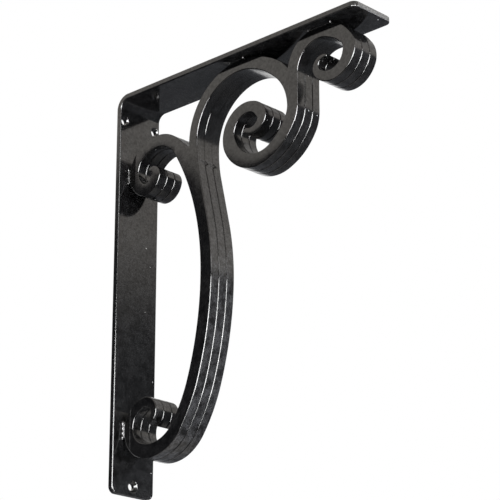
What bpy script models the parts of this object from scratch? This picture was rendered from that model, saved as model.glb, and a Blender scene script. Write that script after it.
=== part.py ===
"""Wrought iron shelf bracket: a bent flat bar with a welded centre scroll of three plates.

The bar has a wall leg and a shelf arm. Three equal scroll plates stand side by side in its
angle and are welded to the leg and to the arm. Metres, +Z up. The origin is the middle of the
wall leg's back face, the arm reaches towards -Y and the width lies along X.
"""
import math

import bmesh
import bpy
import numpy as np

MM = 0.001

# Bent bar, in millimetres
BAR_WIDTH = 75.0
BAR_THICKNESS = 8.0
REACH = 445.0
DROP = 571.5
INNER_BEND = 12.7
CORNER_RADIUS = 9.5
BAR_ARRIS = 1.0
BEND_STEPS = 8
CORNER_STEPS = 6

# Screw holes in the wall leg: place across, below the top, and sink radius, in millimetres
HOLE_RADIUS = 5.0
HOLE_SIDES = 32
HOLES = ((-29.0, 36.5, 7.2), (29.0, 36.5, 7.2), (0.0, 558.0, 8.4))

# Scroll plates
PLATE_THICKNESS = 14.3
PLATE_SPACING = 14.8
CLEARANCE = 0.3
CHORD_ERROR = 0.18

# Scroll bands: start (outward, up from the arm's top), then arcs of radius, sweep and end width
STRIP_START = (164.7, -295.0)
STRIP_WIDTH = 20.6
STEM_START = (322.0, -102.0)
STEM_WIDTH = 19.0
UPPER_SCROLL = ((352.9, 32.5, 18.1), (50.9, 103.2, 17.6), (31.4, 95.4, 17.4), (19.4, 120.1, 18.6),
                (9.0, 105.0, 8.0))
LOWER_SCROLL = ((457.9, 18.4, 20.3), (210.4, 17.4, 19.7), (60.3, 73.8, 19.9), (33.5, 155.1, 13.4),
                (15.8, 152.5, 7.8))
CENTRE_SCROLL = ((43.9, 27.2, 20.1), (78.0, 39.4, 18.1), (53.5, 90.6, 22.7), (33.8, 127.5, 15.7),
                 (27.1, 47.9, 17.9), (12.2, 65.7, 13.6), (21.1, 78.7, 8.7))
OUTER_SCROLL = ((3000.0, 0.8, 18.4), (47.5, 113.5, 22.7), (70.5, 26.8, 18.8), (24.0, 54.6, 21.4),
                (32.1, 115.5, 12.6), (13.0, 160.0, 4.6))
ARCH = ((75.6, 50.3, 21.9), (118.2, 29.3, 16.7), (86.8, 99.3, 15.7), (205.4, 18.0, 15.0))
NOTCH_LEVEL = -108.5
JOIN_TOP, JOIN_FOOT = -148.0, -213.0
LEFT, RIGHT = 1.0, -1.0
UPWARDS, DOWNWARDS = 90.0, -90.0

# Welds: middle of each one along its bar, and its half length
WELD_LEG = 3.2
WELD_RISE = 2.4
WALL_WELDS = (("upper_wall", -119.5, 12.0), ("lower_wall", -485.0, 13.0))
ARM_WELDS = (("arch", 221.0, 14.0), ("outer", 371.0, 21.0))
WELD_STATIONS = ((-1.0, 0.4), (-0.85, 1.0), (0.85, 1.0), (1.0, 0.4))
WELD_STEPS = 4

BLACK_COAT = (0.012, 0.011, 0.010, 1.0)
COAT_ROUGHNESS = 0.22


def clear_scene():
    """Remove every object that the file starts with."""
    for old in list(bpy.data.objects):
        bpy.data.objects.remove(old, do_unlink=True)


def coat_material(name):
    """Black powder coat for one sub-part."""
    material = bpy.data.materials.new(name)
    material.use_nodes = True
    shader = material.node_tree.nodes["Principled BSDF"]
    shader.inputs["Base Color"].default_value = BLACK_COAT
    shader.inputs["Roughness"].default_value = COAT_ROUGHNESS
    shader.inputs["Metallic"].default_value = 0.0
    return material


def finish_object(mesh_data, name):
    """Close a bmesh into a named object with its own coat."""
    bmesh.ops.recalc_face_normals(mesh_data, faces=mesh_data.faces)
    mesh = bpy.data.meshes.new(name)
    mesh_data.to_mesh(mesh)
    mesh_data.free()
    obj = bpy.data.objects.new(name, mesh)
    obj.data.materials.append(coat_material(name + "_coat"))
    bpy.context.scene.collection.objects.link(obj)
    return obj


def row_point(across, outward, up):
    """Turn a place in bracket millimetres into the row frame's metres."""
    return (across * MM, -outward * MM, (up + DROP / 2) * MM)


def prism(outline, low, high):
    """Extrude an (outward, up) outline across the bracket from low to high."""
    solid = bmesh.new()
    loop = [solid.verts.new(row_point(low, u, v)) for u, v in outline]
    face = solid.faces.new(loop)
    grown = bmesh.ops.extrude_face_region(solid, geom=[face])
    moved = [item for item in grown["geom"] if isinstance(item, bmesh.types.BMVert)]
    bmesh.ops.translate(solid, verts=moved, vec=((high - low) * MM, 0, 0))
    return solid


def arc_points(centre, radius, first, last, steps):
    """Points of an arc, angles in degrees."""
    angles = np.radians(np.linspace(first, last, steps + 1))
    return [(centre[0] + radius * math.cos(a), centre[1] + radius * math.sin(a)) for a in angles]


def bar_profile():
    """Side profile of the bent bar as (outward, up) points."""
    outer = INNER_BEND + BAR_THICKNESS
    centre = (outer, -outer)
    profile = [(0.0, -DROP)]
    profile += arc_points(centre, outer, 180, 90, BEND_STEPS)
    profile += [(REACH, 0.0), (REACH, -BAR_THICKNESS)]
    profile += arc_points(centre, INNER_BEND, 90, 180, BEND_STEPS)
    profile.append((BAR_THICKNESS, -DROP))
    return profile


def is_end_corner(edge):
    """True for the four short edges at the free ends of the bar."""
    first, second = edge.verts
    if abs(first.co.x - second.co.x) > 1e-6 or edge.calc_length() > 1.01 * BAR_THICKNESS * MM:
        return False
    at_tip = all(abs(v.co.y + REACH * MM) < 1e-6 for v in edge.verts)
    at_foot = all(abs(v.co.z + DROP / 2 * MM) < 1e-6 for v in edge.verts)
    return at_tip or at_foot


def screw_hole_cutter(index, across, below_top, sink_radius):
    """Drill with a right-angled countersink for one screw hole, opening towards -Y."""
    margin = 1.0
    stations = ((margin, sink_radius + margin), (HOLE_RADIUS - sink_radius, HOLE_RADIUS),
                (-BAR_THICKNESS - margin, HOLE_RADIUS))
    cutter = bmesh.new()
    rings = []
    for height, radius in stations:
        outward = BAR_THICKNESS + height
        ring = []
        for i in range(HOLE_SIDES):
            angle = 2 * math.pi * i / HOLE_SIDES
            place = row_point(across + radius * math.cos(angle), outward,
                              -below_top + radius * math.sin(angle))
            ring.append(cutter.verts.new(place))
        rings.append(ring)
    for upper, lower in zip(rings, rings[1:]):
        for i in range(HOLE_SIDES):
            j = (i + 1) % HOLE_SIDES
            cutter.faces.new((upper[i], upper[j], lower[j], lower[i]))
    cutter.faces.new(rings[0])
    cutter.faces.new(rings[-1])
    obj = finish_object(cutter, "screw_hole_cutter_%d" % index)
    obj.hide_render = True
    obj.display_type = "WIRE"
    return obj


def make_mounting_bar():
    """The bent bar with rounded ends, eased edges and three countersunk screw holes."""
    solid = prism(bar_profile(), -BAR_WIDTH / 2, BAR_WIDTH / 2)
    corners = [edge for edge in solid.edges if is_end_corner(edge)]
    bmesh.ops.bevel(solid, geom=corners, offset=CORNER_RADIUS * MM, offset_type="OFFSET",
                    segments=CORNER_STEPS, profile=0.5, affect="EDGES", material=-1)
    bar = finish_object(solid, "mounting_bar")
    ease = bar.modifiers.new("eased_edges", "BEVEL")
    ease.width = BAR_ARRIS * MM
    ease.segments = 1
    ease.limit_method = "ANGLE"
    ease.angle_limit = math.radians(60)
    for index, (across, below_top, sink_radius) in enumerate(HOLES):
        hole = bar.modifiers.new("screw_hole_%d" % index, "BOOLEAN")
        hole.operation = "DIFFERENCE"
        hole.solver = "EXACT"
        hole.object = screw_hole_cutter(index, across, below_top, sink_radius)
    return bar


def band(start, heading, arcs, width, turn):
    """Edges of a scroll band: its left edge, its right edge and its rounded tip."""
    place = np.array(start)
    angle = math.radians(heading)
    centre_line, headings, widths = [place], [angle], [width]
    for radius, sweep, end_width in arcs:
        hub = place + turn * radius * np.array((-math.sin(angle), math.cos(angle)))
        step = 2 * math.acos(1 - CHORD_ERROR / radius)
        count = max(2, math.ceil(math.radians(sweep) / step))
        for i in range(1, count + 1):
            now = angle + turn * math.radians(sweep) * i / count
            centre_line.append(hub + turn * radius * np.array((math.sin(now), -math.cos(now))))
            headings.append(now)
            widths.append(width + (end_width - width) * i / count)
        place, width = centre_line[-1], end_width
        angle += turn * math.radians(sweep)
    half = np.array(widths)[:, None] / 2
    normal = np.stack([-np.sin(headings), np.cos(headings)], axis=1)
    line = np.array(centre_line)
    forward = np.array((math.cos(angle), math.sin(angle)))
    tip = [line[-1] + half[-1] * (math.cos(a) * normal[-1] + math.sin(a) * forward)
           for a in np.radians((36, 72, 108, 144))]
    return list(line + half * normal), list(line - half * normal), tip


def crossing(first, second):
    """First place where two polylines cross: both segment numbers and the point."""
    for i, (start, end) in enumerate(zip(first, first[1:])):
        for j, (other, other_end) in enumerate(zip(second, second[1:])):
            run, other_run = end - start, other_end - other
            spin = run[0] * other_run[1] - run[1] * other_run[0]
            if abs(spin) < 1e-9:
                continue
            gap = other - start
            along = (gap[0] * other_run[1] - gap[1] * other_run[0]) / spin
            across = (gap[0] * run[1] - gap[1] * run[0]) / spin
            if 0 <= along <= 1 and 0 <= across <= 1:
                return i, j, start + along * run
    raise ValueError("the two edges do not cross")


def tangent_index(edge, point):
    """Number of the edge point where a straight line from point just touches the edge."""
    def slope(index):
        reach = edge[index] - point
        return math.atan2(reach[1], -reach[0])
    over_the_top = [i for i, place in enumerate(edge) if place[1] > NOTCH_LEVEL and place[0] > 60]
    return max(over_the_top, key=slope)


def scroll_outline():
    """Closed outline of one scroll plate as (outward, up) points."""
    upper_in, upper_out, upper_tip = band(STRIP_START, UPWARDS, UPPER_SCROLL, STRIP_WIDTH, LEFT)
    lower_out, lower_in, lower_tip = band(STRIP_START, DOWNWARDS, LOWER_SCROLL, STRIP_WIDTH, RIGHT)
    centre_out, centre_in, centre_tip = band(STEM_START, DOWNWARDS, CENTRE_SCROLL, STEM_WIDTH, RIGHT)
    outer_out, outer_in, outer_tip = band(STEM_START, UPWARDS, OUTER_SCROLL, STEM_WIDTH, RIGHT)
    arch_in, arch_out, _ = band(STEM_START, UPWARDS, ARCH, STEM_WIDTH, LEFT)

    arch_first, outer_first, stem_notch = crossing(arch_out[2:], outer_out[2:])
    arch_last = next(i for i, place in enumerate(arch_in) if place[1] < JOIN_TOP)
    strip_join = max(i for i, place in enumerate(upper_out) if place[1] < JOIN_FOOT)
    descent = len(arch_out) - 1
    while arch_out[descent][1] < NOTCH_LEVEL:
        descent -= 1
    above, below = arch_out[descent], arch_out[descent + 1]
    part = (NOTCH_LEVEL - above[1]) / (below[1] - above[1])
    strip_notch = above + part * (below - above)
    touch = tangent_index(upper_out, strip_notch)

    outline = [stem_notch] + outer_out[outer_first + 3:] + outer_tip + outer_in[::-1]
    outline += centre_out[1:] + centre_tip + centre_in[::-1]
    outline += arch_in[1:arch_last] + upper_out[strip_join:0:-1]
    outline += lower_out + lower_tip + lower_in[:0:-1]
    outline += upper_in + upper_tip + upper_out[:touch - 1:-1]
    outline += [strip_notch] + arch_out[descent:arch_first + 2:-1]
    return land_on_bar(outline)


def land_on_bar(outline):
    """Trim the outline flat where it would touch the leg or the arm."""
    seat = BAR_THICKNESS + CLEARANCE
    landed = []
    for outward, up in outline:
        point = (max(outward, seat), min(up, -seat))
        if not landed or math.dist(point, landed[-1]) > 0.05:
            landed.append(point)
    return landed


def make_scroll_plates():
    """Three equal scroll plates side by side."""
    outline = scroll_outline()
    for number, side in enumerate(("left", "middle", "right")):
        middle = (number - 1) * PLATE_SPACING
        solid = prism(outline, middle - PLATE_THICKNESS / 2, middle + PLATE_THICKNESS / 2)
        bmesh.ops.triangulate(solid, faces=solid.faces)
        finish_object(solid, "scroll_plate_" + side)


def skin_rings(rings, name):
    """Close a run of equal rings of points into one solid."""
    solid = bmesh.new()
    loops = [[solid.verts.new(point) for point in ring] for ring in rings]
    count = len(loops[0])
    for first, second in zip(loops, loops[1:]):
        for i in range(count):
            j = (i + 1) % count
            solid.faces.new((first[i], first[j], second[j], second[i]))
    solid.faces.new(loops[0])
    solid.faces.new(loops[-1])
    return finish_object(solid, name)


def scroll_side():
    """Distance of the outer plates' outer faces from the middle of the bracket."""
    return PLATE_SPACING + PLATE_THICKNESS / 2


def ring_reach(edge, middle):
    """How near a scroll's ring comes to the wall along one weld."""
    return min(u for u, v in edge if abs(v - middle) < 40)


def make_wall_weld(name, middle, half, ring):
    """Weld metal that fills the space between a ring and the wall leg and climbs both sides."""
    seat = BAR_THICKNESS + CLEARANCE
    inner = scroll_side() + CLEARANCE
    fill = ring - CLEARANCE
    rings = []
    for share, fullness in WELD_STATIONS:
        leg = inner + WELD_LEG * fullness
        rim = inner + 0.3 * WELD_LEG * fullness
        top = ring + 0.6 + WELD_RISE * fullness
        section = ((-leg, seat), (leg, seat), (rim, top), (inner, top), (inner, fill),
                   (-inner, fill), (-inner, top), (-rim, top))
        rings.append([row_point(x, u, middle + half * share) for x, u in section])
    return skin_rings(rings, name)


def make_arm_weld(name, side, middle, half):
    """One bead in the corner between the scroll's side and the arm's underside."""
    inner = scroll_side() + CLEARANCE
    seat = BAR_THICKNESS + CLEARANCE
    rings = []
    for share, fullness in WELD_STATIONS:
        leg = WELD_LEG * fullness
        corner = [(inner, -seat)]
        for i in range(WELD_STEPS + 1):
            angle = math.radians(90 * i / WELD_STEPS)
            corner.append((inner + leg * math.cos(angle), -seat - leg * math.sin(angle)))
        rings.append([row_point(side * x, middle + half * share, v) for x, v in corner])
    return skin_rings(rings, name)


def make_welds():
    """Weld metal at the four places where the scroll meets the leg and the arm."""
    outline = scroll_outline()
    for place, middle, half in WALL_WELDS:
        make_wall_weld("weld_" + place, middle, half, ring_reach(outline, middle))
    for place, middle, half in ARM_WELDS:
        make_arm_weld("weld_%s_left" % place, -1, middle, half)
        make_arm_weld("weld_%s_right" % place, 1, middle, half)


clear_scene()
make_mounting_bar()
make_scroll_plates()
make_welds()
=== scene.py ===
"""Wrought iron shelf bracket in black powder coat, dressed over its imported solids.

A bent flat bar carries a centre scroll of three equal plates, welded to the wall leg and to the
arm. Sizes are in millimetres until they reach a mesh, which is in metres. A place on the bracket
is given as (across, outward, up): across along +X, outward from the wall along -Y, and up from
the top of the arm.
"""

import logging
import math
from dataclasses import dataclass
from enum import Enum
from typing import Iterable, Sequence

import bmesh
import bpy
from mathutils import Matrix, Vector


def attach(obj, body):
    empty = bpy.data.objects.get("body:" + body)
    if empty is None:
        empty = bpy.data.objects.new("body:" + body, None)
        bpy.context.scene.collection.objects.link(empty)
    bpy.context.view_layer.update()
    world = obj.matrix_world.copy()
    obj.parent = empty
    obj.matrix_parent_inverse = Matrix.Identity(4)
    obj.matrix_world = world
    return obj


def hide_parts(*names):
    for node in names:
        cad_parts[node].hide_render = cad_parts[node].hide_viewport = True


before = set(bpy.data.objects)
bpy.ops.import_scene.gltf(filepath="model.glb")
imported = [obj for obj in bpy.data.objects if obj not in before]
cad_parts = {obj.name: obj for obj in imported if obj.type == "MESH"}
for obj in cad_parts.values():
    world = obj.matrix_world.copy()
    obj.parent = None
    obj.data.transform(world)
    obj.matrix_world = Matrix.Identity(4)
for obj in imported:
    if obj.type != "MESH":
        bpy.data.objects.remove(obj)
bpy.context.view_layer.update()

LOG = logging.getLogger("bracket")
MM = 0.001
DROP = 571.5
BODY = "root"
QUARTER = math.radians(90)
WHITE = (1.0, 1.0, 1.0)
COOL = (0.95, 0.98, 1.05)

# An attribute marks the faces along a plate's cut, whose normals lean less than this towards X.
CUT_EDGE = "cut_edge"
CUT_LEAN = 0.2

# Slack in millimetres for places that coincide, and for a faceted rim. Faces at a smaller angle
# than FLUSH are one face, and at a larger one than SHARP they meet at an arris, in radians.
SLACK = 1e-4
RIM_SLACK = 0.02
FLUSH = 0.001
SHARP = 1.0

# A point of an outline, as (outward, up).
Flat = Vector


class Turn(Enum):
    """Which way a scroll band curls as it is followed."""

    LEFT = 1.0
    RIGHT = -1.0


class Side(Enum):
    """The three scroll plates, by their place across the bracket."""

    LEFT = -1
    MIDDLE = 0
    RIGHT = 1


class Heading(Enum):
    """Direction in which a band leaves its start, in degrees."""

    UPWARDS = 90.0
    DOWNWARDS = -90.0


class Throw(Enum):
    """What a studio light gives the coat."""

    GLINTS = "glints"
    FILL = "fill"


def row_point(across: float, outward: float, up: float) -> Vector:
    """Turn a place on the bracket into the row frame.

    Args:
        across: Distance along +X, in millimetres.
        outward: Distance from the wall, in millimetres.
        up: Height over the arm's top, in millimetres.

    Returns:
        The same place in metres in the row frame.
    """
    return Vector((across * MM, -outward * MM, (up + DROP / 2) * MM))


@dataclass(frozen=True)
class NodeBench:
    """Places and links shader nodes in one node tree."""

    tree: bpy.types.NodeTree

    def add(self, kind: str, **settings: object) -> bpy.types.Node:
        """Add a node and set its properties.

        Args:
            kind: Blender's name of the node type.
            settings: Properties to set on it.

        Returns:
            The new node.
        """
        node = self.tree.nodes.new(kind)
        for name, value in settings.items():
            setattr(node, name, value)
        return node

    def join(self, source: bpy.types.NodeSocket, target: bpy.types.NodeSocket) -> None:
        """Link one socket to another."""
        self.tree.links.new(source, target)

    def math(self, operation: str, first: object, second: object = 0.0,
             third: object = 0.0) -> bpy.types.NodeSocket:
        """Add a Math node whose inputs are sockets or plain numbers.

        Args:
            operation: The Math node's operation.
            first: First input.
            second: Second input.
            third: Third input.

        Returns:
            The result socket.
        """
        node = self.add("ShaderNodeMath", operation=operation)
        for index, value in enumerate((first, second, third)):
            if isinstance(value, (int, float)):
                node.inputs[index].default_value = value
            else:
                self.join(value, node.inputs[index])
        return node.outputs[0]

    def stretched(self, value: bpy.types.NodeSocket, gain: float,
                  offset: float) -> bpy.types.NodeSocket:
        """Scale and shift a value and hold it between 0 and 1.

        Args:
            value: The value's socket.
            gain: What it is multiplied by.
            offset: What is then added.

        Returns:
            The result socket.
        """
        node = self.add("ShaderNodeClamp")
        self.join(self.math("MULTIPLY_ADD", value, gain, offset), node.inputs["Value"])
        return node.outputs["Result"]

    def tint(self, share: bpy.types.NodeSocket, first: object,
             second: object) -> bpy.types.NodeSocket:
        """Mix two colours, each a socket or three numbers.

        Args:
            share: Socket of the mix.
            first: Colour at 0.
            second: Colour at 1.

        Returns:
            The mixed colour's socket.
        """
        mix = self.add("ShaderNodeMix", data_type="RGBA")
        self.join(share, mix.inputs["Factor"])
        for label, value in (("A", first), ("B", second)):
            if isinstance(value, tuple):
                mix.inputs[label].default_value = (*value, 1.0)
            else:
                self.join(value, mix.inputs[label])
        return mix.outputs["Result"]


class EffectGroup:
    """A shader node group with named inputs and outputs, built once and shared."""

    def __init__(self, name: str, inputs: dict[str, float | None], outputs: Sequence[str]) -> None:
        """Start an empty group.

        Args:
            name: The group's name.
            inputs: Input names and default values; None makes a vector input.
            outputs: Names of the value outputs.
        """
        self.tree = bpy.data.node_groups.new(name, "ShaderNodeTree")
        for label, value in inputs.items():
            kind = "NodeSocketVector" if value is None else "NodeSocketFloat"
            socket = self.tree.interface.new_socket(label, in_out="INPUT", socket_type=kind)
            if value is not None:
                socket.default_value = value
        for label in outputs:
            self.tree.interface.new_socket(label, in_out="OUTPUT", socket_type="NodeSocketFloat")
        self.bench = NodeBench(self.tree)
        self.entry = self.bench.add("NodeGroupInput")
        self.exit = self.bench.add("NodeGroupOutput")

    def noise(self, scale: str, detail: float, rough: float) -> bpy.types.NodeSocket:
        """Add a noise texture on the group's Place input.

        Args:
            scale: Name of the input that gives the noise its scale.
            detail: Noise detail.
            rough: Noise roughness.

        Returns:
            The noise value socket.
        """
        noise = self.bench.add("ShaderNodeTexNoise")
        noise.inputs["Detail"].default_value = detail
        noise.inputs["Roughness"].default_value = rough
        self.bench.join(self.entry.outputs["Place"], noise.inputs["Vector"])
        self.bench.join(self.entry.outputs[scale], noise.inputs["Scale"])
        return noise.outputs["Fac"]


def orange_peel_group() -> bpy.types.NodeTree:
    """Build the low ripple that powder coat keeps when it flows out.

    Returns:
        A group with the inputs Place, Ripple, Swell and Swell Share and the output Height.
    """
    group = EffectGroup("orange_peel", {"Place": None, "Ripple": 600.0, "Swell": 90.0,
                                        "Swell Share": 0.5}, ["Height"])
    bench = group.bench
    ripple = group.noise("Ripple", detail=1.0, rough=0.45)
    swell = group.noise("Swell", detail=1.5, rough=0.5)
    lifted = bench.math("MULTIPLY", swell, group.entry.outputs["Swell Share"])
    bench.join(bench.math("ADD", ripple, lifted), group.exit.inputs["Height"])
    return group.tree


def haze_group() -> bpy.types.NodeTree:
    """Build the patchy change of gloss left by curing and handling.

    Returns:
        A group with the inputs Place, Patch, Gloss and Haze and the output Roughness.
    """
    group = EffectGroup("coat_haze", {"Place": None, "Patch": 18.0, "Gloss": 0.1, "Haze": 0.2},
                        ["Roughness"])
    bench = group.bench
    patch = group.noise("Patch", detail=4.0, rough=0.6)
    spread = bench.add("ShaderNodeMapRange", interpolation_type="SMOOTHSTEP")
    spread.inputs["From Min"].default_value = 0.35
    spread.inputs["From Max"].default_value = 0.72
    bench.join(patch, spread.inputs["Value"])
    bench.join(group.entry.outputs["Gloss"], spread.inputs["To Min"])
    bench.join(group.entry.outputs["Haze"], spread.inputs["To Max"])
    bench.join(spread.outputs["Result"], group.exit.inputs["Roughness"])
    return group.tree


def dust_and_painted_light_group() -> bpy.types.NodeTree:
    """Build a mottled grey film of dust and handling marks, with its cover per face as painted
    light.

    Returns:
        A group with the inputs Place, Grain, Blotch, Cover and Thin Above, the height in metres
        over which the film thins out, and the output Mask.
    """
    group = EffectGroup("dust_film_and_painted_light", {"Place": None, "Grain": 620.0, "Blotch": 75.0, "Cover": 0.5,
                                      "Thin Above": 0.04}, ["Mask"])
    bench = group.bench
    grain = group.noise("Grain", detail=3.0, rough=0.7)
    blotch = group.noise("Blotch", detail=3.0, rough=0.6)
    film = bench.math("MULTIPLY", bench.stretched(grain, gain=2.8, offset=-0.9),
                      bench.stretched(blotch, gain=4.0, offset=-1.45))
    parts = bench.add("ShaderNodeSeparateXYZ")
    bench.join(group.entry.outputs["Place"], parts.inputs["Vector"])
    below = bench.math("SUBTRACT", group.entry.outputs["Thin Above"], parts.outputs["Z"])
    settled = bench.stretched(below, gain=12.0, offset=0.3)
    thinnest = 0.25
    thinned = bench.math("MULTIPLY_ADD", settled, 1.0 - thinnest, thinnest)
    covered = bench.math("MULTIPLY", film, bench.math("MULTIPLY", thinned,
                                                      group.entry.outputs["Cover"]))
    bench.join(covered, group.exit.inputs["Mask"])
    return group.tree


def sheen_group() -> bpy.types.NodeTree:
    """Build the mottled sheen of a coat that cured unevenly.

    Returns:
        A group with the inputs Place, Mottle and Sheen and the output Coat.
    """
    group = EffectGroup("mottled_sheen", {"Place": None, "Mottle": 300.0, "Sheen": 0.45},
                        ["Coat"])
    bench = group.bench
    mottle = group.noise("Mottle", detail=3.0, rough=0.6)
    patchy = bench.stretched(mottle, gain=3.0, offset=-1.0)
    bench.join(bench.math("MULTIPLY", patchy, group.entry.outputs["Sheen"]),
               group.exit.inputs["Coat"])
    return group.tree


def speck_group() -> bpy.types.NodeTree:
    """Build sparse pale specks of dust caught in the coat.

    Returns:
        A group with the inputs Place, Spread and Size and the output Mask.
    """
    group = EffectGroup("dust_specks", {"Place": None, "Spread": 120.0, "Size": 0.08}, ["Mask"])
    bench = group.bench
    cell = bench.add("ShaderNodeTexVoronoi", feature="F1")
    bench.join(group.entry.outputs["Place"], cell.inputs["Vector"])
    bench.join(group.entry.outputs["Spread"], cell.inputs["Scale"])
    near = bench.math("LESS_THAN", cell.outputs["Distance"], group.entry.outputs["Size"])
    tint = bench.add("ShaderNodeSeparateColor")
    bench.join(cell.outputs["Color"], tint.inputs["Color"])
    bare_share = 0.95
    rare = bench.math("GREATER_THAN", tint.outputs["Red"], bare_share)
    bench.join(bench.math("MULTIPLY", near, rare), group.exit.inputs["Mask"])
    return group.tree


def pale_end_group() -> bpy.types.NodeTree:
    """Build a paler, patchy tint on the bar's free end.

    Returns:
        A group with the inputs Place, Grain and Beyond, the distance from the wall in metres past
        which the coat is tinted paler, and the output Mask.
    """
    group = EffectGroup("pale_end_film", {"Place": None, "Beyond": 10.0, "Grain": 650.0}, ["Mask"])
    bench = group.bench
    parts = bench.add("ShaderNodeSeparateXYZ")
    bench.join(group.entry.outputs["Place"], parts.inputs["Vector"])
    outward = bench.math("MULTIPLY", parts.outputs["Y"], -1.0)
    past = bench.math("GREATER_THAN", outward, group.entry.outputs["Beyond"])
    grain = group.noise("Grain", detail=3.0, rough=0.6)
    patchy = bench.stretched(grain, gain=1.6, offset=-0.45)
    bench.join(bench.math("MULTIPLY", past, patchy), group.exit.inputs["Mask"])
    return group.tree


@dataclass(frozen=True)
class PowderCoat:
    """Glossy black powder coat on steel."""

    name: str
    black: tuple[float, float, float] = (0.0030, 0.0029, 0.0028)
    film: tuple[float, float, float] = (0.060, 0.060, 0.061)
    pale_tint: tuple[float, float, float] = (0.40, 0.40, 0.39)
    gloss: float = 0.05
    haze: float = 0.11
    edge_haze: float = 0.0
    ripple: float = 520.0
    swell: float = 85.0
    depth: float = 0.00001
    # The film's cover on cut edges and on flat faces differs as painted light, for how light falls
    # on each; it thins out above thin_above, in metres.
    cover: float = 0.9
    face_cover: float = 0.45
    thin_above: float = 0.04
    sheen: float = 0.6
    specks: float = 0.12
    pale_beyond: float = 10.0

    def build(self, effects: dict[str, bpy.types.NodeTree]) -> bpy.types.Material:
        """Make the material.

        Args:
            effects: The shared node groups by name.

        Returns:
            The finished material.
        """
        material = bpy.data.materials.new(self.name)
        material.use_nodes = True
        bench = NodeBench(material.node_tree)
        shader = material.node_tree.nodes["Principled BSDF"]
        shader.inputs["Metallic"].default_value = 0.0
        shader.inputs["IOR"].default_value = 1.5
        place = bench.add("ShaderNodeTexCoord").outputs["Object"]
        peel = self.effect(bench, effects["peel"], place, Ripple=self.ripple, Swell=self.swell)
        haze = self.effect(bench, effects["haze"], place, Gloss=self.gloss, Haze=self.haze)
        cut = bench.add("ShaderNodeAttribute", attribute_name=CUT_EDGE).outputs["Fac"]
        rough = bench.math("MULTIPLY_ADD", cut, self.edge_haze, haze.outputs["Roughness"])
        speck = self.effect(bench, effects["specks"], place, Size=self.specks)
        film = self.effect(bench, effects["film"], place, **{"Thin Above": self.thin_above})
        # Painted light: the film is laid on cut edges and on flat faces in different amounts,
        # standing in for how light falls on each.
        bench.join(bench.math("MULTIPLY_ADD", cut, self.cover - self.face_cover, self.face_cover),
                   film.inputs["Cover"])
        # The bar's end face, past its Beyond distance, is tinted paler in patches.
        pale_end = self.effect(bench, effects["pale_end"], place, Beyond=self.pale_beyond)
        greyed = bench.tint(film.outputs["Mask"], self.black, self.film)
        with_pale_end = bench.tint(pale_end.outputs["Mask"], greyed, self.pale_tint)
        colour = bench.tint(speck.outputs["Mask"], with_pale_end, self.pale_tint)
        bump = bench.add("ShaderNodeBump")
        bump.inputs["Strength"].default_value = 1.0
        bump.inputs["Distance"].default_value = self.depth
        bench.join(peel.outputs["Height"], bump.inputs["Height"])
        bench.join(colour, shader.inputs["Base Color"])
        bench.join(rough, shader.inputs["Roughness"])
        bench.join(bump.outputs["Normal"], shader.inputs["Normal"])
        sheen = self.effect(bench, effects["sheen"], place, Sheen=self.sheen)
        bench.join(sheen.outputs["Coat"], shader.inputs["Coat Weight"])
        shader.inputs["Coat Roughness"].default_value = self.haze
        return material

    @staticmethod
    def effect(bench: NodeBench, tree: bpy.types.NodeTree, place: bpy.types.NodeSocket,
               **values: float) -> bpy.types.Node:
        """Place a shared effect in the material with its own values.

        Args:
            bench: The material's bench.
            tree: The effect's node group.
            place: Socket with the place on the piece.
            values: Input values by name.

        Returns:
            The group node.
        """
        node = bench.add("ShaderNodeGroup", node_tree=tree)
        bench.join(place, node.inputs["Place"])
        for label, value in values.items():
            node.inputs[label].default_value = value
        return node


class Finishes:
    """The bracket's coats, one for each kind of piece."""

    def __init__(self) -> None:
        """Build the shared effects and the three coats."""
        effects = {"peel": orange_peel_group(), "haze": haze_group(), "film": dust_and_painted_light_group(),
                   "specks": speck_group(), "pale_end": pale_end_group(), "sheen": sheen_group()}
        # Only the last fraction of a millimetre of the arm, its end face, is tinted paler.
        tip = (MountingBar.reach - MountingBar.pale_end) * MM
        # cover sets how much of the painted-light film lies on each coat's cut edges.
        self.bar = PowderCoat("bar_coat", gloss=0.07, haze=0.13, depth=0.000016, cover=0.35,
                              thin_above=0.34, pale_beyond=tip).build(effects)
        self.scroll = PowderCoat("scroll_coat", swell=110.0, cover=1.2,
                                 edge_haze=0.12).build(effects)
        self.weld = PowderCoat("weld_coat", gloss=0.12, haze=0.22, ripple=700.0, swell=260.0,
                               depth=0.00006).build(effects)


def raise_faces(solid: bmesh.types.BMesh, way: tuple[float, float, float]) -> None:
    """Raise flat faces into a closed solid.

    Args:
        solid: A bmesh that holds the flat faces alone.
        way: How far they are raised, in the bmesh's own units.
    """
    raised = bmesh.ops.extrude_face_region(solid, geom=list(solid.faces), use_keep_orig=True)
    moved = [item for item in raised["geom"] if isinstance(item, bmesh.types.BMVert)]
    bmesh.ops.translate(solid, verts=moved, vec=way)
    bmesh.ops.recalc_face_normals(solid, faces=solid.faces)


def round_edges(solid: bmesh.types.BMesh, edges: Sequence[bmesh.types.BMEdge], offset: float,
                cuts: int) -> None:
    """Round edges by a bevel.

    Args:
        solid: The bmesh.
        edges: The edges.
        offset: How far the bevel reaches from each edge.
        cuts: Number of facets across it.
    """
    bmesh.ops.bevel(solid, geom=edges, offset=offset, offset_type="OFFSET", segments=cuts,
                    profile=0.5, affect="EDGES", clamp_overlap=False, material=-1)


def cut_large_faces(solid: bmesh.types.BMesh) -> None:
    """Triangulate every face with more than four corners."""
    bmesh.ops.triangulate(solid, faces=[face for face in solid.faces if len(face.verts) > 4])


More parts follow.
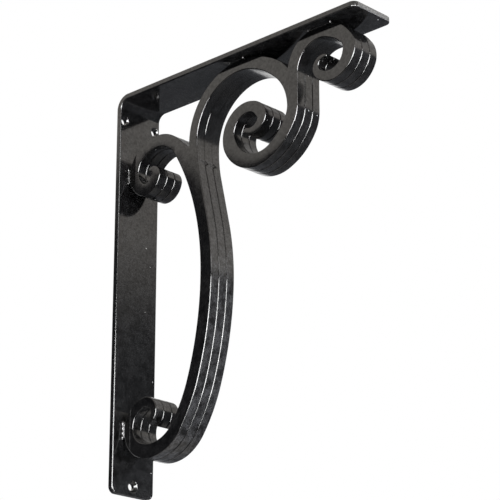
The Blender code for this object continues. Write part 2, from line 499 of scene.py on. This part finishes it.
def finish_piece(solid: bmesh.types.BMesh, name: str, coat: bpy.types.Material,
                 nodes: Iterable[str], crease: float = 35.0) -> bpy.types.Object:
    """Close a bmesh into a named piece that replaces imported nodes.

    Args:
        solid: The finished bmesh, which is freed.
        name: Name of the piece.
        coat: Its material.
        nodes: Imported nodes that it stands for.
        crease: Angle over which an edge stays sharp, in degrees.

    Returns:
        The piece.
    """
    bmesh.ops.recalc_face_normals(solid, faces=solid.faces)
    # The operator can turn all faces of a bent piece inwards, so the volume's sign decides.
    if solid.calc_volume(signed=True) < 0:
        bmesh.ops.reverse_faces(solid, faces=solid.faces)
    mesh = bpy.data.meshes.new(name)
    solid.to_mesh(mesh)
    solid.free()
    cut = mesh.attributes.new(CUT_EDGE, "FLOAT", "FACE")
    cut.data.foreach_set("value", [float(abs(face.normal.x) < CUT_LEAN)
                                   for face in mesh.polygons])
    mesh.shade_smooth()
    mesh.set_sharp_from_angle(angle=math.radians(crease))
    mesh.materials.append(coat)
    piece = bpy.data.objects.new(name, mesh)
    bpy.context.scene.collection.objects.link(piece)
    even = piece.modifiers.new("even_shading", "WEIGHTED_NORMAL")
    even.mode = "FACE_AREA"
    even.keep_sharp = True
    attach(piece, BODY)
    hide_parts(*nodes)
    LOG.info("%s: %d faces", name, len(mesh.polygons))
    return piece


@dataclass(frozen=True)
class ScrewHole:
    """A countersunk hole in the wall leg."""

    across: float
    below_top: float
    sink: float = 2.2
    radius: float = 5.0
    sides: int = 48


@dataclass
class MountingBar:
    """The flat bar: cut with round corners, drilled, countersunk and bent once."""

    width: float = 75.0
    thickness: float = 8.0
    reach: float = 445.0
    inner_bend: float = 12.7
    corner: float = 9.5
    arris: float = 1.3
    sink_rim: float = 0.7
    pale_end: float = 0.3
    crease: float = 40.0
    corner_cuts: int = 10
    arris_cuts: int = 4
    rim_cuts: int = 3
    bend_cuts: int = 24
    holes: tuple[ScrewHole, ...] = (ScrewHole(-29.0, 36.5), ScrewHole(29.0, 36.5),
                                    ScrewHole(0.0, 558.0, 3.4))

    @property
    def outer_bend(self) -> float:
        """Radius of the bend's outer face."""
        return self.inner_bend + self.thickness

    @property
    def leg(self) -> float:
        """Straight length of the wall leg, from its foot to the bend."""
        return DROP - self.outer_bend

    @property
    def bend_length(self) -> float:
        """Length of the bend along the middle of the bar."""
        return QUARTER * (self.inner_bend + self.thickness / 2)

    @property
    def blank(self) -> float:
        """Length of the straight bar before it is bent."""
        return self.leg + self.bend_length + self.reach - self.outer_bend

    def build(self, coat: bpy.types.Material) -> bpy.types.Object:
        """Make the bar in the order of the shop: cut, drill, ease, countersink, bend.

        Args:
            coat: The bar's finish.

        Returns:
            The bar.
        """
        solid = bmesh.new()
        self.cut_blank(solid)
        round_edges(solid, self.thicken(solid), self.arris, self.arris_cuts)
        self.countersink(solid)
        self.cut_for_bend(solid)
        for vert in solid.verts:
            vert.co = self.bend(vert.co)
        return finish_piece(solid, "mounting_bar_dressed", coat,
                            ["mounting_bar"], self.crease)

    def cut_blank(self, solid: bmesh.types.BMesh) -> None:
        """Lay out the bar's face with round corners and the three holes, as a flat sheet.

        Args:
            solid: Empty bmesh; x is across, y runs from the foot, both in millimetres.
        """
        half = self.width / 2
        corners = [solid.verts.new(place) for place in
                   ((-half, 0, 0), (half, 0, 0), (half, self.blank, 0), (-half, self.blank, 0))]
        solid.faces.new(corners)
        bmesh.ops.bevel(solid, geom=corners, offset=self.corner, offset_type="OFFSET",
                        segments=self.corner_cuts, profile=0.5, affect="VERTICES", material=-1)
        bmesh.ops.delete(solid, geom=list(solid.faces), context="FACES_ONLY")
        for hole in self.holes:
            place = Matrix.Translation((hole.across, DROP - hole.below_top, 0))
            bmesh.ops.create_circle(solid, cap_ends=False, segments=hole.sides, radius=hole.radius,
                                    matrix=place)
        bmesh.ops.triangle_fill(solid, edges=solid.edges, use_beauty=True, use_dissolve=False)

    def thicken(self, solid: bmesh.types.BMesh) -> list[bmesh.types.BMEdge]:
        """Raise the sheet to the bar's thickness.

        Args:
            solid: The flat sheet, at the wall side.

        Returns:
            The rim edges of both faces, the holes' rims left out.
        """
        raise_faces(solid, (0, 0, self.thickness))
        bmesh.ops.dissolve_limit(solid, angle_limit=FLUSH, verts=[], edges=[
            edge for edge in solid.edges if edge.calc_face_angle(SHARP) < FLUSH])
        return [edge for edge in solid.edges
                if edge.calc_face_angle(0.0) > SHARP
                and not any(self.on_rim(edge, hole, hole.radius) for hole in self.holes)]

    @staticmethod
    def on_rim(edge: bmesh.types.BMEdge, hole: ScrewHole, radius: float) -> bool:
        """True for an edge that runs round the given hole at a radius."""
        reaches = [math.hypot(vert.co.x - hole.across, vert.co.y - DROP + hole.below_top)
                   for vert in edge.verts]
        return all(abs(reach - radius) < RIM_SLACK for reach in reaches)

    def countersink(self, solid: bmesh.types.BMesh) -> None:
        """Sink each hole on the room side for a flat screw head.

        Args:
            solid: The eased bar.
        """
        for hole in self.holes:
            for radius, offset, cuts in ((hole.radius, hole.sink, 1),
                                         (hole.radius + hole.sink, self.sink_rim, self.rim_cuts)):
                rims = [edge for edge in solid.edges if self.on_rim(edge, hole, radius)
                        and all(abs(vert.co.z - self.thickness) < SLACK for vert in edge.verts)]
                round_edges(solid, rims, offset, cuts)

    def cut_for_bend(self, solid: bmesh.types.BMesh) -> None:
        """Cut across the bar at close steps where it is going to bend.

        Args:
            solid: The finished straight bar.
        """
        cut_large_faces(solid)
        for step in range(self.bend_cuts + 1):
            line = self.leg + self.bend_length * step / self.bend_cuts
            bmesh.ops.bisect_plane(solid, geom=solid.verts[:] + solid.edges[:] + solid.faces[:],
                                   plane_co=(0, line, 0), plane_no=(0, 1, 0))

    def bend(self, place: Vector) -> Vector:
        """Move a place on the straight bar to where the bend takes it.

        Args:
            place: Across, along from the foot and height over the wall face, in millimetres.

        Returns:
            The place in the row frame, in metres.
        """
        across, along, height = place
        if along <= self.leg:
            return row_point(across, height, along - DROP)
        share = min((along - self.leg) / self.bend_length, 1.0)
        angle = QUARTER * share
        radius = self.outer_bend - height
        past = max(along - self.leg - self.bend_length, 0.0)
        outward = self.outer_bend - radius * math.cos(angle) + past
        up = -self.outer_bend + radius * math.sin(angle)
        return row_point(across, outward, up)


@dataclass(frozen=True)
class Arc:
    """One arc of a scroll band: radius, sweep in degrees and the band's width at its end."""

    radius: float
    sweep: float
    width: float


@dataclass(frozen=True)
class ScrollBand:
    """A band that follows tangent arcs and ends in a round tip.

    No chord strays further from its arc than chord_error, and the tip has tip_cuts facets.
    """

    start: tuple[float, float]
    heading: Heading
    turn: Turn
    width: float
    arcs: tuple[Arc, ...]
    chord_error: float = 0.02
    least_chords: int = 3
    tip_cuts: int = 12

    def edges(self) -> tuple[list[Flat], list[Flat], list[Flat]]:
        """Follow the arcs.

        Returns:
            The left edge, the right edge and the tip, as (outward, up) points.
        """
        turn = self.turn.value
        place, angle, width = Vector(self.start), math.radians(self.heading.value), self.width
        left, right = [], []
        self.put(left, right, place, angle, width)
        for arc in self.arcs:
            hub = place + turn * arc.radius * Vector((-math.sin(angle), math.cos(angle)))
            step = 2 * math.acos(1 - self.chord_error / arc.radius)
            count = max(self.least_chords, math.ceil(math.radians(arc.sweep) / step))
            for i in range(1, count + 1):
                now = angle + turn * math.radians(arc.sweep) * i / count
                place = hub + turn * arc.radius * Vector((math.sin(now), -math.cos(now)))
                self.put(left, right, place, now, width + (arc.width - width) * i / count)
            angle += turn * math.radians(arc.sweep)
            width = arc.width
        tip = []
        for cut in range(1, self.tip_cuts):
            around = angle + math.radians(90 - 180 * cut / self.tip_cuts)
            tip.append(place + width / 2 * Vector((math.cos(around), math.sin(around))))
        return left, right, tip

    @staticmethod
    def put(left: list[Flat], right: list[Flat], place: Flat, angle: float, width: float) -> None:
        """Add the two edge points of one place on the band."""
        normal = Vector((-math.sin(angle), math.cos(angle)))
        left.append(place + normal * width / 2)
        right.append(place - normal * width / 2)


def arcs(*rows: tuple[float, float, float]) -> tuple[Arc, ...]:
    """Make arcs from rows of radius, sweep and end width."""
    return tuple(Arc(*row) for row in rows)


# Where the bands start: the middle of the long strip and the stem before the centre scroll.
STRIP = (164.7, -295.0)
STEM = (322.0, -102.0)


@dataclass(frozen=True)
class Stretch:
    """A stretch of the scroll between two distances from the wall and two heights."""

    near: float
    far: float
    low: float
    high: float = 0.0

    def holds(self, outward: float, up: float) -> bool:
        """True for a place inside the stretch."""
        return self.near < outward < self.far and self.low < up < self.high


@dataclass
class CentreScroll:
    """The centre scroll: three equal plates side by side.

    Coat has closed the seams along the closed stretches, except that the left seam is still open
    along open_stretch. The web runs from the arch at notch_level to the upper ring past
    web_beyond, and the arch joins the strip between join_top and join_foot.
    """

    plate: float = 14.3
    pitch: float = 14.8
    arris: float = 1.1
    arris_cuts: int = 3
    seat: float = 8.3
    shoulder: float = 16.0
    rubs: int = 24
    least_step: float = 0.35
    closed: tuple[Stretch, ...] = (
        Stretch(125.0, 205.0, -138.0), Stretch(205.0, 262.0, -45.0), Stretch(318.0, 344.0, -66.0),
        Stretch(344.0, 385.0, -32.0))
    open_stretch: Stretch = Stretch(0.0, 205.0, -90.0, -62.0)
    notch_level: float = -108.5
    web_beyond: float = 60.0
    join_top: float = -148.0
    join_foot: float = -213.0
    upper: ScrollBand = ScrollBand(
        STRIP, Heading.UPWARDS, Turn.LEFT, 20.6,
        arcs((352.9, 32.5, 18.1), (50.9, 103.2, 17.6), (31.4, 95.4, 17.4), (19.4, 120.1, 18.6),
             (9.0, 105.0, 8.0)))
    lower: ScrollBand = ScrollBand(
        STRIP, Heading.DOWNWARDS, Turn.RIGHT, 20.6,
        arcs((457.9, 18.4, 20.3), (210.4, 17.4, 19.7), (60.3, 73.8, 19.9), (33.5, 155.1, 13.4),
             (15.8, 152.5, 7.8)))
    centre: ScrollBand = ScrollBand(
        STEM, Heading.DOWNWARDS, Turn.RIGHT, 19.0,
        arcs((43.9, 27.2, 20.1), (78.0, 39.4, 18.1), (53.5, 90.6, 22.7), (33.8, 127.5, 15.7),
             (27.1, 47.9, 17.9), (12.2, 65.7, 13.6), (21.1, 78.7, 8.7)))
    outer: ScrollBand = ScrollBand(
        STEM, Heading.UPWARDS, Turn.RIGHT, 19.0,
        arcs((3000.0, 0.8, 18.4), (47.5, 113.5, 22.7), (70.5, 26.8, 18.8), (24.0, 54.6, 21.4),
             (32.1, 115.5, 12.6), (13.0, 160.0, 4.6)))
    arch: ScrollBand = ScrollBand(
        STEM, Heading.UPWARDS, Turn.LEFT, 19.0,
        arcs((75.6, 50.3, 21.9), (118.2, 29.3, 16.7), (86.8, 99.3, 15.7), (205.4, 18.0, 15.0)))

    def outline(self) -> list[Flat]:
        """Splice the five bands into one closed outline.

        Returns:
            The outline as (outward, up) points.
        """
        upper_in, upper_out, upper_tip = self.upper.edges()
        lower_out, lower_in, lower_tip = self.lower.edges()
        centre_out, centre_in, centre_tip = self.centre.edges()
        outer_out, outer_in, outer_tip = self.outer.edges()
        arch_in, arch_out, _ = self.arch.edges()

        arch_first, outer_first, stem_notch = first_crossing(arch_out, outer_out)
        arch_last = next(i for i, p in enumerate(arch_in) if p.y < self.join_top)
        strip_join = max(i for i, p in enumerate(upper_out) if p.y < self.join_foot)
        descent = max(i for i, p in enumerate(arch_out) if p.y > self.notch_level)
        strip_notch = self.at_level(arch_out[descent], arch_out[descent + 1], self.notch_level)
        touch = self.tangent_index(upper_out, strip_notch)

        points = [stem_notch] + outer_out[outer_first + 1:] + outer_tip + outer_in[::-1]
        points += centre_out[1:] + centre_tip + centre_in[::-1]
        points += arch_in[1:arch_last] + upper_out[strip_join:0:-1]
        points += lower_out + lower_tip + lower_in[:0:-1]
        points += upper_in + upper_tip + upper_out[:touch - 1:-1]
        points += [strip_notch] + arch_out[descent:arch_first:-1]
        return self.seated(points)

    @staticmethod
    def at_level(above: Flat, below: Flat, level: float) -> Flat:
        """Place between two edge points that lies at a given height."""
        return above.lerp(below, (level - above.y) / (below.y - above.y))

    def tangent_index(self, edge: Sequence[Flat], point: Flat) -> int:
        """Find where a straight web from the notch first touches the upper scroll.

        Args:
            edge: The upper scroll's outer edge.
            point: The notch.

        Returns:
            Index of the touching point.
        """
        over = [i for i, p in enumerate(edge)
                if p.y > self.notch_level and p.x > self.web_beyond]
        return max(over, key=lambda i: math.atan2(edge[i].y - point.y, point.x - edge[i].x))

    def seated(self, points: Sequence[Flat]) -> list[Flat]:
        """Trim the outline where it meets the bar and drop points that nearly coincide.

        Args:
            points: The spliced outline.

        Returns:
            The trimmed outline.
        """
        kept: list[Flat] = []
        for point in points:
            placed = Vector((max(point.x, self.seat), min(point.y, -self.seat)))
            if not kept or (placed - kept[-1]).length > self.least_step:
                kept.append(placed)
        if (kept[0] - kept[-1]).length < self.least_step:
            kept.pop()
        return self.shouldered(kept)

    def shouldered(self, points: list[Flat]) -> list[Flat]:
        """Round the corners where a ring runs off its flat seat under the arm.

        Args:
            points: The trimmed outline.

        Returns:
            The outline with the corners worn round.
        """
        flat = [abs(p.y + self.seat) < SLACK for p in points]
        corners = [p.copy() for i, p in enumerate(points)
                   if flat[i] and not (flat[i - 1] and flat[(i + 1) % len(points)])]
        near = [i for i, p in enumerate(points)
                if any((p - corner).length < self.shoulder for corner in corners)]
        for _ in range(self.rubs):
            before = list(points)
            for i in near:
                ends = before[i - 1] + before[(i + 1) % len(points)]
                points[i] = (before[i] * 2 + ends) / 4
        return points

    def build(self, coat: bpy.types.Material) -> None:
        """Make the three plates.

        Args:
            coat: The scroll's finish.
        """
        outline = self.outline()
        LOG.info("scroll outline: %d points", len(outline))
        for side in Side:
            name = "scroll_plate_" + side.name.lower()
            solid = self.cut_plate(outline, side.value * self.pitch)
            finish_piece(solid, name + "_dressed", coat, [name])

    def cut_plate(self, outline: Sequence[Flat], middle: float) -> bmesh.types.BMesh:
        """Cut one plate to the outline and round its arrises.

        Args:
            outline: The closed outline.
            middle: The plate's place across the bracket.

        Returns:
            The plate.
        """
        solid = bmesh.new()
        near = middle - self.plate / 2
        solid.faces.new([solid.verts.new(row_point(near, p.x, p.y)) for p in outline])
        raise_faces(solid, (self.plate * MM, 0, 0))
        rims = [edge for edge in solid.edges
                if abs(edge.verts[0].co.x - edge.verts[1].co.x) < SLACK * MM
                and not self.stays_square(edge)]
        round_edges(solid, rims, self.arris * MM, self.arris_cuts)
        cut_large_faces(solid)
        return solid

    def stays_square(self, edge: bmesh.types.BMEdge) -> bool:
        """Tell whether coat has closed the seam at a rim, as in the arch and the outer ring.

        Args:
            edge: A rim of a plate.

        Returns:
            True where the rim stays square.
        """
        middle = (edge.verts[0].co + edge.verts[1].co) / 2 / MM
        across, outward, up = middle.x, -middle.y, middle.z - DROP / 2
        at_seam = abs(abs(across) - self.pitch / 2) < self.pitch - self.plate
        still_open = across < 0 and self.open_stretch.holds(outward, up)
        return at_seam and not still_open and any(part.holds(outward, up) for part in self.closed)


def first_crossing(first: Sequence[Flat], second: Sequence[Flat],
                   skip: int = 2) -> tuple[int, int, Flat]:
    """Find where two polylines first cross after their shared start.

    Args:
        first: One polyline.
        second: The other.
        skip: Segments at the start of each that aren't tested.

    Returns:
        The segment numbers on both and the crossing point.

    Raises:
        ValueError: If they don't cross.
    """
    for i in range(skip, len(first) - 1):
        run = first[i + 1] - first[i]
        for j in range(skip, len(second) - 1):
            other = second[j + 1] - second[j]
            spin = run.x * other.y - run.y * other.x
            if abs(spin) < 1e-9:
                continue
            gap = second[j] - first[i]
            along = (gap.x * other.y - gap.y * other.x) / spin
            across = (gap.x * run.y - gap.y * run.x) / spin
            if 0 <= along <= 1 and 0 <= across <= 1:
                return i, j, first[i] + run * along
    raise ValueError("the two edges do not cross")


@dataclass(frozen=True)
class BeadStyle:
    """How a bead is laid: its radius, the length and dip of a ripple, and the swelling at its ends.

    The crest gives a ripple's size at shares of its length after the dip, and the waver is a slow
    and a fast change of size from ripple to ripple, each as (depth, beat).
    """

    radius: float
    ripple: float = 3.0
    dip: float = 0.86
    crater: float = 0.72
    tip: float = 0.5
    dip_at: float = 0.1
    crest: tuple[tuple[float, float], ...] = ((0.3, 0.95), (0.5, 1.0), (0.8, 0.9))
    waver: tuple[tuple[float, float], ...] = ((0.09, 2.3), (0.05, 5.1))
    least_ripples: int = 3
    sides: int = 14


@dataclass(frozen=True)
class WeldBead:
    """A hand-laid bead: round ripples that follow each other along a straight joint."""

    start: Vector
    end: Vector
    seed: int
    style: BeadStyle

    def profile(self) -> tuple[list[float], list[float]]:
        """Lay out the ripples.

        Returns:
            Shares of the bead's length, and its size at each as a share of its radius.
        """
        style = self.style
        (slow, slow_beat), (fast, fast_beat) = style.waver
        count = max(style.least_ripples,
                    round((self.end - self.start).length / (style.ripple * MM)))
        steps, sizes = [0.0], [style.tip]
        for i in range(count):
            end = style.crater if i in (0, count - 1) else 1.0
            swell = 1 + slow * math.sin(slow_beat * i + self.seed) + fast * math.sin(fast_beat * i)
            for share, size in ((style.dip_at, style.dip), *style.crest):
                steps.append((i + share) / count)
                sizes.append(size * swell * end)
        return steps + [1.0], sizes + [style.tip]

    def lay(self, solid: bmesh.types.BMesh) -> None:
        """Lay the bead into a bmesh that is in metres.

        Args:
            solid: The bmesh that takes the bead.
        """
        run = self.end - self.start
        turned = run.to_track_quat("Z", "Y").to_matrix().to_4x4()
        ring = bmesh.ops.create_circle(solid, cap_ends=True, segments=self.style.sides,
                                       radius=self.style.tip * self.style.radius * MM,
                                       matrix=Matrix.Translation(self.start) @ turned)
        face = ring["verts"][0].link_faces[0]
        steps, sizes = self.profile()
        for index in range(1, len(steps)):
            grown = bmesh.ops.extrude_discrete_faces(solid, faces=[face])
            face = grown["faces"][0]
            shift = run * (steps[index] - steps[index - 1])
            bmesh.ops.translate(solid, verts=face.verts, vec=shift)
            centre = face.calc_center_median()
            growth = Vector((1, 1, 1)) * (sizes[index] / sizes[index - 1])
            bmesh.ops.scale(solid, verts=face.verts, vec=growth,
                            space=Matrix.Translation(-centre))
        bmesh.ops.holes_fill(solid, edges=solid.edges, sides=self.style.sides)


@dataclass
class Welds:
    """Weld metal where the scroll meets the wall leg and the arm.

    The filler is the block of metal between a ring and the wall leg. Its length is a share of the
    weld's half length. A bead's place is given from the scroll's side and from the bar's face.
    """

    side: float = 21.95
    bar: float = 8.0
    filler: float = 3.9
    filler_length: float = 1.7
    filler_arris: float = 1.2
    filler_cuts: int = 3
    wall_bead: tuple[float, float] = (0.3, 1.9)
    arm_bead: tuple[float, float] = (0.7, 0.7)
    wall_seed: int = 2
    arm_seed: int = 5
    crease: float = 70.0
    upper_style: BeadStyle = BeadStyle(radius=0.75, ripple=3.0, dip=0.9, crater=1.7)
    lower_style: BeadStyle = BeadStyle(radius=1.6, ripple=6.5, dip=0.5, crater=1.0)
    arm_style: BeadStyle = BeadStyle(radius=1.3, crater=1.5)

    def build(self, coat: bpy.types.Material) -> None:
        """Make all six welds.

        Args:
            coat: The welds' finish.
        """
        self.wall_weld("weld_upper_wall", middle=-119.5, half=12.0, style=self.upper_style,
                       coat=coat)
        self.wall_weld("weld_lower_wall", middle=-485.0, half=13.0, style=self.lower_style,
                       coat=coat)
        for place, middle, half in (("arch", 221.0, 14.0), ("outer", 371.0, 21.0)):
            for side in (Side.LEFT, Side.RIGHT):
                name = f"weld_{place}_{side.name.lower()}"
                self.arm_weld(name, side.value, middle, half, coat)

    def wall_weld(self, name: str, middle: float, half: float, style: BeadStyle,
                  coat: bpy.types.Material) -> None:
        """Fill the space between a ring and the wall leg, with a bead on both sides.

        Args:
            name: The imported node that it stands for.
            middle: Height of the weld's middle.
            half: Half its length.
            style: How its beads are laid.
            coat: Its finish.
        """
        solid = bmesh.new()
        place = Matrix.Translation(row_point(0, self.bar + self.filler / 2, middle))
        scale = Matrix.Diagonal((2 * self.side * MM, self.filler * MM,
                                 self.filler_length * half * MM, 1))
        bmesh.ops.create_cube(solid, size=1.0, matrix=place @ scale)
        round_edges(solid, list(solid.edges), self.filler_arris * MM, self.filler_cuts)
        beside, above = self.wall_bead
        for side in (-1, 1):
            across, outward = side * (self.side + beside), self.bar + above
            start = row_point(across, outward, middle - half)
            end = row_point(across, outward, middle + half)
            WeldBead(start, end, side + self.wall_seed, style).lay(solid)
        finish_piece(solid, name + "_dressed", coat, [name], self.crease)

    def arm_weld(self, name: str, side: int, middle: float, half: float,
                 coat: bpy.types.Material) -> None:
        """Lay one bead in the corner under the arm.

        Args:
            name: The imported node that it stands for.
            side: Left is -1 and right is 1.
            middle: Distance of the bead's middle from the wall.
            half: Half its length.
            coat: Its finish.
        """
        solid = bmesh.new()
        beside, below = self.arm_bead
        across, up = side * (self.side + beside), -self.bar - below
        WeldBead(row_point(across, middle - half, up), row_point(across, middle + half, up),
                 side + self.arm_seed, self.arm_style).lay(solid)
        finish_piece(solid, name + "_dressed", coat, [name], self.crease)


@dataclass(frozen=True)
class Softbox:
    """A rectangular studio light that points at the bracket."""

    name: str
    azimuth: float
    elevation: float
    spread: tuple[float, float]
    radiance: float
    throw: Throw
    colour: tuple[float, float, float] = WHITE
    distance: float = 14.0
    aim: Vector = Vector((0.0, -0.2, 0.05))

    def hang(self) -> None:
        """Add the light to the scene."""
        light = bpy.data.lights.new(self.name, "AREA")
        light.shape = "RECTANGLE"
        light.size, light.size_y = (2 * self.distance * math.tan(math.radians(part / 2))
                                    for part in self.spread)
        light.energy = self.radiance * math.pi * light.size * light.size_y
        light.color = self.colour
        lamp = bpy.data.objects.new(self.name, light)
        turned, raised = math.radians(self.azimuth), math.radians(self.elevation)
        direction = Vector((math.cos(turned) * math.cos(raised),
                            math.sin(turned) * math.cos(raised), math.sin(raised)))
        lamp.location = self.aim + direction * self.distance
        lamp.rotation_mode = "QUATERNION"
        lamp.rotation_quaternion = direction.to_track_quat("Z", "Y")
        lamp.visible_camera = False
        lamp.visible_diffuse = self.throw is Throw.FILL
        lamp.visible_glossy = self.throw is Throw.GLINTS
        bpy.context.scene.collection.objects.link(lamp)


@dataclass
class Studio:
    """Camera, pale floor, surroundings and soft light.

    The camera's distance and shifts are in millimetres and the floor's sizes in metres. The
    horizons, the backdrop's top and its edge are soft steps in degrees. The other spans are soft
    steps over the X or Y part of a direction: where the left side turns into the right one, where
    the white walls are shaded, and where the rear and overhead walls take over.
    """

    azimuth: float = -46.20784
    elevation: float = -19.48014
    distance: float = 2792.64
    shift_right: float = 162.48475
    shift_up: float = -207.81807
    focal_pixels: float = 1945.95
    frame_pixels: float = 500.0
    sensor: float = 36.0
    clip_end: float = 100.0
    floor_middle: tuple[float, float, float] = (0.0, -0.2, -1.9)
    floor_half: float = 1.6
    floor_paint: tuple[float, float, float, float] = (0.62, 0.61, 0.60, 1.0)
    floor_rough: float = 0.8
    side_span: tuple[float, float] = (-0.2, 0.2)
    shade_x: tuple[float, float] = (0.1, 0.4)
    shade_y: tuple[float, float] = (-0.55, -0.3)
    rear_x: tuple[float, float] = (0.3, 0.5)
    rear_y: tuple[float, float] = (0.05, 0.35)
    backdrop_edge: tuple[float, float] = (26.0, 20.0)
    left_horizon: tuple[float, float] = (21.3, 22.3)
    right_horizon: tuple[float, float] = (16.8, 20.4)
    white: tuple[float, float, float] = (1.03, 0.98, 0.92)
    shade: tuple[float, float, float] = (0.62, 0.60, 0.58)
    left_dark: tuple[float, float, float] = (0.050, 0.052, 0.060)
    right_dark: tuple[float, float, float] = (0.140, 0.145, 0.157)
    overhead: tuple[float, float, float] = (0.165, 0.157, 0.150)
    backdrop_top: tuple[float, float] = (33.0, 37.0)
    softboxes: tuple[Softbox, ...] = (
        Softbox("low_glint_left", 200.0, -3.75, (28.0, 40.5), 29.0, Throw.GLINTS),
        Softbox("low_glint_right", 247.0, -3.75, (26.0, 40.5), 29.0, Throw.GLINTS),
        Softbox("low_glint_front", 285.0, -3.75, (10.0, 40.5), 29.0, Throw.GLINTS),
        Softbox("low_glint_middle", 224.0, -8.5, (20.0, 31.0), 21.0, Throw.GLINTS),
        Softbox("high_glint", 247.0, 22.1, (26.0, 5.5), 10.0, Throw.GLINTS),
        Softbox("front_fill", 265.0, -10.0, (40.0, 40.0), 5.0, Throw.FILL, COOL),
        Softbox("under_fill", 265.0, -62.0, (50.0, 50.0), 3.5, Throw.FILL, COOL, distance=1.8),
    )

    def build(self) -> None:
        """Set up everything around the bracket."""
        self.camera()
        self.floor()
        self.surroundings()
        for softbox in self.softboxes:
            softbox.hang()

    def back(self) -> Vector:
        """Direction from the bracket to the camera."""
        a, e = math.radians(self.azimuth), math.radians(self.elevation)
        return Vector((math.sin(a) * math.cos(e), -math.cos(a) * math.cos(e), math.sin(e)))

    def camera(self) -> None:
        """Place the camera at the photograph's angle."""
        a = math.radians(self.azimuth)
        back = self.back()
        right = Vector((math.cos(a), math.sin(a), 0))
        up = back.cross(right)
        place = (back * self.distance + right * self.shift_right + up * self.shift_up) * MM
        data = bpy.data.cameras.new("camera")
        data.sensor_width = self.sensor
        data.lens = self.focal_pixels / self.frame_pixels * self.sensor
        data.clip_end = self.clip_end
        camera = bpy.data.objects.new("camera", data)
        turned = Matrix((right, up, back)).transposed()
        camera.rotation_mode = "QUATERNION"
        camera.rotation_quaternion = turned.to_quaternion()
        camera.location = place + Vector((0, 0, DROP / 2 * MM))
        bpy.context.scene.collection.objects.link(camera)
        bpy.context.scene.camera = camera

    def floor(self) -> None:
        """Lay a plain pale floor far below the bracket."""
        sheet = bmesh.new()
        bmesh.ops.create_grid(sheet, x_segments=1, y_segments=1, size=self.floor_half,
                              matrix=Matrix.Translation(self.floor_middle))
        mesh = bpy.data.meshes.new("floor")
        sheet.to_mesh(mesh)
        sheet.free()
        paint = bpy.data.materials.new("pale_floor")
        paint.use_nodes = True
        shader = paint.node_tree.nodes["Principled BSDF"]
        shader.inputs["Base Color"].default_value = self.floor_paint
        shader.inputs["Roughness"].default_value = self.floor_rough
        mesh.materials.append(paint)
        floor = bpy.data.objects.new("floor", mesh)
        bpy.context.scene.collection.objects.link(floor)

    def surroundings(self) -> None:
        """Surround the bracket with a white upper room, a dark band and a white backdrop."""
        world = bpy.data.worlds.new("studio")
        bpy.context.scene.world = world
        bpy.context.scene.view_settings.view_transform = "Standard"
        world.use_nodes = True
        bench = NodeBench(world.node_tree)
        backing = world.node_tree.nodes["Background"]
        direction = bench.add("ShaderNodeTexCoord").outputs["Generated"]
        parts = bench.add("ShaderNodeSeparateXYZ")
        bench.join(direction, parts.inputs["Vector"])
        left = self.rise(bench, parts.outputs["Z"], self.left_horizon)
        right = self.rise(bench, parts.outputs["Z"], self.right_horizon)
        shaded = bench.math("MULTIPLY", self.ramp(bench, parts.outputs["X"], *self.shade_x),
                            self.ramp(bench, parts.outputs["Y"], *self.shade_y))
        across = self.ramp(bench, parts.outputs["X"], *self.side_span)
        upper = bench.add("ShaderNodeMix", data_type="FLOAT")
        bench.join(across, upper.inputs["Factor"])
        bench.join(left, upper.inputs["A"])
        bench.join(right, upper.inputs["B"])
        lobe = bench.add("ShaderNodeVectorMath", operation="DOT_PRODUCT")
        bench.join(direction, lobe.inputs[0])
        lobe.inputs[1].default_value = -self.back()
        backdrop = self.ramp(bench, lobe.outputs["Value"],
                             *(math.cos(math.radians(part)) for part in self.backdrop_edge))
        rear = bench.math("MULTIPLY", self.ramp(bench, parts.outputs["X"], *self.rear_x),
                          self.ramp(bench, parts.outputs["Y"], *self.rear_y))
        walls = bench.tint(rear, bench.tint(shaded, self.white, self.shade), self.overhead)
        below = bench.tint(across, self.left_dark, self.right_dark)
        room = bench.tint(upper.outputs["Result"], below, walls)
        over = self.rise(bench, parts.outputs["Z"], self.backdrop_top)
        sheet = bench.math("MULTIPLY", backdrop, bench.math("SUBTRACT", 1.0, over))
        behind = bench.tint(sheet, room, WHITE)
        seen = bench.add("ShaderNodeLightPath").outputs["Is Camera Ray"]
        bench.join(bench.tint(seen, behind, WHITE), backing.inputs["Color"])

    def rise(self, bench: NodeBench, height: bpy.types.NodeSocket,
             span: tuple[float, float]) -> bpy.types.NodeSocket:
        """Step softly from 0 to 1 between two elevations.

        Args:
            bench: The world's bench.
            height: Socket with the direction's height.
            span: Where the step starts and ends, in degrees above the horizon.

        Returns:
            The step's socket.
        """
        low, high = (math.sin(math.radians(part)) for part in span)
        return self.ramp(bench, height, low, high)

    @staticmethod
    def ramp(bench: NodeBench, value: bpy.types.NodeSocket, low: float,
             high: float) -> bpy.types.NodeSocket:
        """Turn a value into a soft step from 0 to 1.

        Args:
            bench: The world's bench.
            value: The value.
            low: Where the step starts.
            high: Where it ends.

        Returns:
            The step's socket.
        """
        step = bench.add("ShaderNodeMapRange", interpolation_type="SMOOTHSTEP")
        step.inputs["From Min"].default_value = low
        step.inputs["From Max"].default_value = high
        bench.join(value, step.inputs["Value"])
        return step.outputs["Result"]


def main() -> None:
    """Build the dressed bracket and its studio."""
    logging.basicConfig(level=logging.INFO, format="%(message)s")
    finishes = Finishes()
    MountingBar().build(finishes.bar)
    CentreScroll().build(finishes.scroll)
    Welds().build(finishes.weld)
    Studio().build()


if __name__ == "__main__":
    main()
